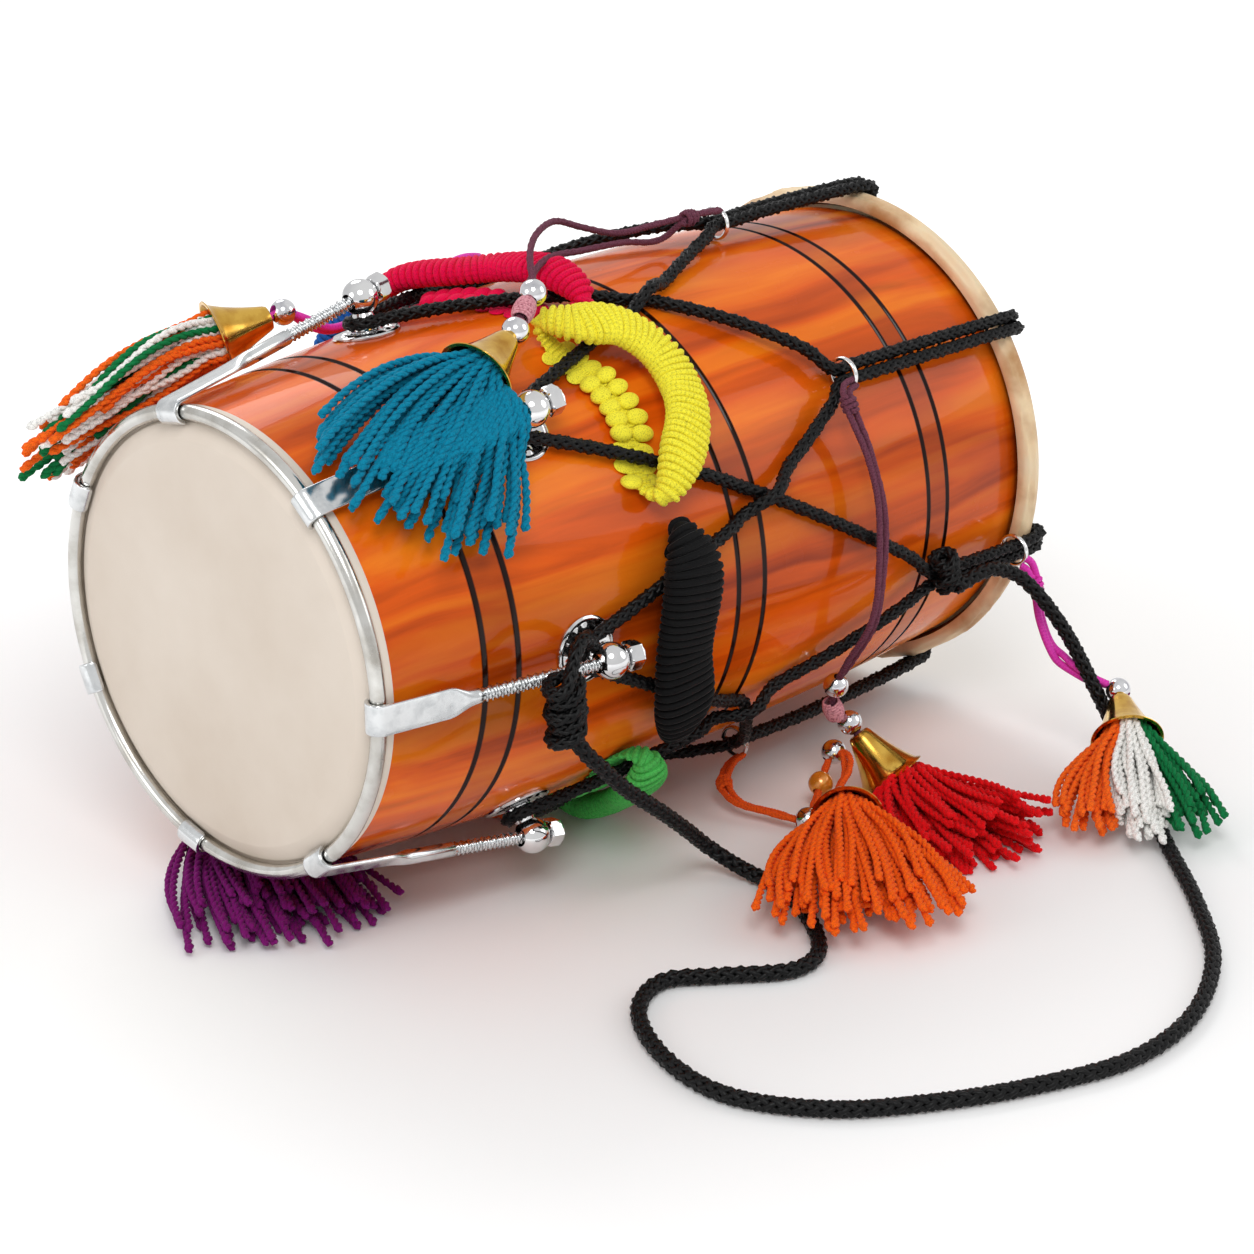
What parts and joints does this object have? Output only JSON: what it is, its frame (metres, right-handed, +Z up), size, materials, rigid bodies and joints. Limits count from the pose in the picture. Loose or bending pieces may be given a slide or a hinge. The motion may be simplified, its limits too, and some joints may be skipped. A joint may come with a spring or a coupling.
{
  "type": "dhol drum",
  "caption": "Two-headed barrel drum lying on its side, with hooked tension rods, rope lacing with yarn tuning sleeves, hanging tassels and a rope strap.",
  "frame": {"origin": "middle of the drum's own box, without the strap rope and the tassels, on the surface that it lies on", "axes": "+X along the drum from the front (bass) head to the rear head, +Z up"},
  "size_m": [0.6668, 0.7313, 0.4195],
  "materials": {
    "varnished_wood": "streaky orange-brown wood under glossy varnish",
    "cream_skin": "matt cream coated drum skin",
    "hoop_steel": "dull bare steel pipe",
    "goatskin": "dry translucent goatskin",
    "hoop_wood": "plain unvarnished wood",
    "black_rope": "braided rope",
    "galvanised_steel": "galvanised, slightly mottled",
    "chrome_steel": "polished chrome",
    "pressed_chrome": "chromed sheet with a pressed pattern",
    "brass": "polished sheet brass",
    "plum_cord": "twisted cord, silver and pink beads",
    "orange_cord": "twisted cord, silver and gold beads",
    "magenta_cord": "twisted cord, silver beads",
    "pink_sleeve_yarn": "yarn wound tightly side by side",
    "yellow_sleeve_yarn": "yarn wound tightly side by side",
    "black_sleeve_yarn": "yarn wound tightly side by side",
    "green_sleeve_yarn": "yarn wound tightly side by side",
    "orange_sleeve_yarn": "yarn wound tightly side by side",
    "purple_sleeve_yarn": "yarn wound tightly side by side",
    "blue_sleeve_yarn": "yarn wound tightly side by side",
    "blue_yarn": "loose two-ply yarn ends",
    "red_yarn": "loose two-ply yarn ends",
    "orange_yarn": "loose two-ply yarn ends",
    "purple_yarn": "loose two-ply yarn ends",
    "tricolour_yarn": "loose two-ply yarn ends in orange, white and green"
  },
  "bodies": {
    "drum": {"shell": "varnished_wood", "front_head": "cream_skin", "front_hoop": "hoop_steel", "rear_head": "goatskin", "rear_hoop": "hoop_wood", "lacing_rope": "black_rope", "strap_rope": "black_rope", "ball_bolt_1": "chrome_steel", "ball_bolt_2": "chrome_steel", "ball_bolt_3": "chrome_steel", "ball_bolt_4": "chrome_steel", "ball_bolt_5": "chrome_steel", "ball_bolt_6": "chrome_steel", "ball_bolt_7": "chrome_steel", "backplate_1": "pressed_chrome", "backplate_2": "pressed_chrome", "backplate_3": "pressed_chrome", "backplate_4": "pressed_chrome", "backplate_5": "pressed_chrome", "backplate_6": "pressed_chrome", "backplate_7": "pressed_chrome"},
    "rod_1": {"hook_rod_1": "galvanised_steel"},
    "nut_1": {"tension_nut_1": "chrome_steel"},
    "sleeve_1": {"tuning_sleeve_1": "pink_sleeve_yarn"},
    "rod_2": {"hook_rod_2": "galvanised_steel"},
    "nut_2": {"tension_nut_2": "chrome_steel"},
    "sleeve_2": {"tuning_sleeve_2": "yellow_sleeve_yarn"},
    "rod_3": {"hook_rod_3": "galvanised_steel"},
    "nut_3": {"tension_nut_3": "chrome_steel"},
    "sleeve_3": {"tuning_sleeve_3": "black_sleeve_yarn"},
    "rod_4": {"hook_rod_4": "galvanised_steel"},
    "nut_4": {"tension_nut_4": "chrome_steel"},
    "sleeve_4": {"tuning_sleeve_4": "green_sleeve_yarn"},
    "rod_5": {"hook_rod_5": "galvanised_steel"},
    "nut_5": {"tension_nut_5": "chrome_steel"},
    "sleeve_5": {"tuning_sleeve_5": "orange_sleeve_yarn"},
    "rod_6": {"hook_rod_6": "galvanised_steel"},
    "nut_6": {"tension_nut_6": "chrome_steel"},
    "sleeve_6": {"tuning_sleeve_6": "purple_sleeve_yarn"},
    "rod_7": {"hook_rod_7": "galvanised_steel"},
    "nut_7": {"tension_nut_7": "chrome_steel"},
    "sleeve_7": {"tuning_sleeve_7": "blue_sleeve_yarn"},
    "tassel_blue": {"tassel_blue_cord": "plum_cord", "tassel_blue_bell": "brass", "tassel_blue_yarn": "blue_yarn"},
    "tassel_red": {"tassel_red_cord": "plum_cord", "tassel_red_bell": "brass", "tassel_red_yarn": "red_yarn"},
    "tassel_orange": {"tassel_orange_cord": "orange_cord", "tassel_orange_bell": "brass", "tassel_orange_yarn": "orange_yarn"},
    "tassel_tricolour_right": {"tassel_tricolour_right_cord": "magenta_cord", "tassel_tricolour_right_bell": "brass", "tassel_tricolour_right_yarn": "tricolour_yarn"},
    "tassel_tricolour_left": {"tassel_tricolour_left_cord": "magenta_cord", "tassel_tricolour_left_bell": "brass", "tassel_tricolour_left_yarn": "tricolour_yarn"},
    "tassel_purple": {"tassel_purple_cord": "magenta_cord", "tassel_purple_bell": "brass", "tassel_purple_yarn": "purple_yarn"}
  },
  "joints": [
    {"name": "nut_1_turn", "type": "hinge", "parent": "drum", "child": "nut_1", "pos_m": [-0.13476, 0.04052, 0.3822], "axis": [0.9813, 0.04, 0.1881], "range_deg": [0, 1440]},
    {"name": "rod_1_draw", "type": "slide", "parent": "drum", "child": "rod_1", "axis": [-0.9813, -0.04, -0.1881], "range_m": [0, 0.006]},
    {"name": "nut_2_turn", "type": "hinge", "parent": "drum", "child": "nut_2", "pos_m": [-0.13476, -0.11989, 0.34305], "axis": [0.9813, -0.1222, 0.1486], "range_deg": [0, 1440]},
    {"name": "rod_2_draw", "type": "slide", "parent": "drum", "child": "rod_2", "axis": [-0.9813, 0.1222, -0.1486], "range_m": [0, 0.006]},
    {"name": "nut_3_turn", "type": "hinge", "parent": "drum", "child": "nut_3", "pos_m": [-0.13476, -0.18929, 0.19323], "axis": [0.9813, -0.1923, -0.0029], "range_deg": [0, 1440]},
    {"name": "rod_3_draw", "type": "slide", "parent": "drum", "child": "rod_3", "axis": [-0.9813, 0.1923, 0.0029], "range_m": [0, 0.006]},
    {"name": "nut_4_turn", "type": "hinge", "parent": "drum", "child": "nut_4", "pos_m": [-0.13476, -0.11543, 0.04555], "axis": [0.9813, -0.1177, -0.1521], "range_deg": [0, 1440]},
    {"name": "rod_4_draw", "type": "slide", "parent": "drum", "child": "rod_4", "axis": [-0.9813, 0.1177, 0.1521], "range_m": [0, 0.006]},
    {"name": "nut_5_turn", "type": "hinge", "parent": "drum", "child": "nut_5", "pos_m": [-0.13476, 0.04607, 0.01123], "axis": [0.9813, 0.0456, -0.1868], "range_deg": [0, 1440]},
    {"name": "rod_5_draw", "type": "slide", "parent": "drum", "child": "rod_5", "axis": [-0.9813, -0.0456, 0.1868], "range_m": [0, 0.006]},
    {"name": "nut_6_turn", "type": "hinge", "parent": "drum", "child": "nut_6", "pos_m": [-0.13476, 0.17361, 0.11609], "axis": [0.9813, 0.1745, -0.0808], "range_deg": [0, 1440]},
    {"name": "rod_6_draw", "type": "slide", "parent": "drum", "child": "rod_6", "axis": [-0.9813, -0.1745, 0.0808], "range_m": [0, 0.006]},
    {"name": "nut_7_turn", "type": "hinge", "parent": "drum", "child": "nut_7", "pos_m": [-0.13476, 0.17114, 0.28119], "axis": [0.9813, 0.172, 0.086], "range_deg": [0, 1440]},
    {"name": "rod_7_draw", "type": "slide", "parent": "drum", "child": "rod_7", "axis": [-0.9813, -0.172, -0.086], "range_m": [0, 0.006]},
    {"name": "sleeve_1_slide", "type": "slide", "parent": "drum", "child": "sleeve_1", "axis": [-1, 0, 0], "range_m": [0, 0.015]},
    {"name": "sleeve_2_slide", "type": "slide", "parent": "drum", "child": "sleeve_2", "axis": [-1, 0, 0], "range_m": [0, 0.015]},
    {"name": "sleeve_3_slide", "type": "slide", "parent": "drum", "child": "sleeve_3", "axis": [-1, 0, 0], "range_m": [0, 0.015]},
    {"name": "sleeve_4_slide", "type": "slide", "parent": "drum", "child": "sleeve_4", "axis": [-1, 0, 0], "range_m": [0, 0.015]},
    {"name": "sleeve_5_slide", "type": "slide", "parent": "drum", "child": "sleeve_5", "axis": [-1, 0, 0], "range_m": [0, 0.015]},
    {"name": "sleeve_6_slide", "type": "slide", "parent": "drum", "child": "sleeve_6", "axis": [-1, 0, 0], "range_m": [0, 0.015]},
    {"name": "sleeve_7_slide", "type": "slide", "parent": "drum", "child": "sleeve_7", "axis": [-1, 0, 0], "range_m": [0, 0.015]},
    {"name": "tassel_blue_lift", "type": "hinge", "parent": "drum", "child": "tassel_blue", "pos_m": [0.14657, -0.00181, 0.38121], "axis": [-1, 0, 0], "range_deg": [0, 60]},
    {"name": "tassel_red_lift", "type": "hinge", "parent": "drum", "child": "tassel_red", "pos_m": [0.11879, -0.14585, 0.30961], "axis": [-1, 0, 0], "range_deg": [0, 60]},
    {"name": "tassel_orange_lift", "type": "hinge", "parent": "drum", "child": "tassel_orange", "pos_m": [0.07683, -0.09048, 0.03435], "axis": [-1, 0, 0], "range_deg": [0, 8]},
    {"name": "tassel_tricolour_right_lift", "type": "hinge", "parent": "drum", "child": "tassel_tricolour_right", "pos_m": [0.27364, -0.17914, 0.14935], "axis": [-1, 0, 0], "range_deg": [0, 60]},
    {"name": "tassel_tricolour_left_lift", "type": "hinge", "parent": "drum", "child": "tassel_tricolour_left", "pos_m": [0.07211, 0.14447, 0.31407], "axis": [0, 0.6351, -0.7724], "range_deg": [0, 30]},
    {"name": "tassel_purple_lift", "type": "hinge", "parent": "drum", "child": "tassel_purple", "pos_m": [0.09693, 0.08406, 0.02993], "axis": [1, 0, 0], "range_deg": [0, 30]}
  ],
  "couplings": [
    {"joint": "rod_1_draw", "follows": "nut_1_turn", "m_per_rad": 0.0002387},
    {"joint": "rod_2_draw", "follows": "nut_2_turn", "m_per_rad": 0.0002387},
    {"joint": "rod_3_draw", "follows": "nut_3_turn", "m_per_rad": 0.0002387},
    {"joint": "rod_4_draw", "follows": "nut_4_turn", "m_per_rad": 0.0002387},
    {"joint": "rod_5_draw", "follows": "nut_5_turn", "m_per_rad": 0.0002387},
    {"joint": "rod_6_draw", "follows": "nut_6_turn", "m_per_rad": 0.0002387},
    {"joint": "rod_7_draw", "follows": "nut_7_turn", "m_per_rad": 0.0002387}
  ]
}
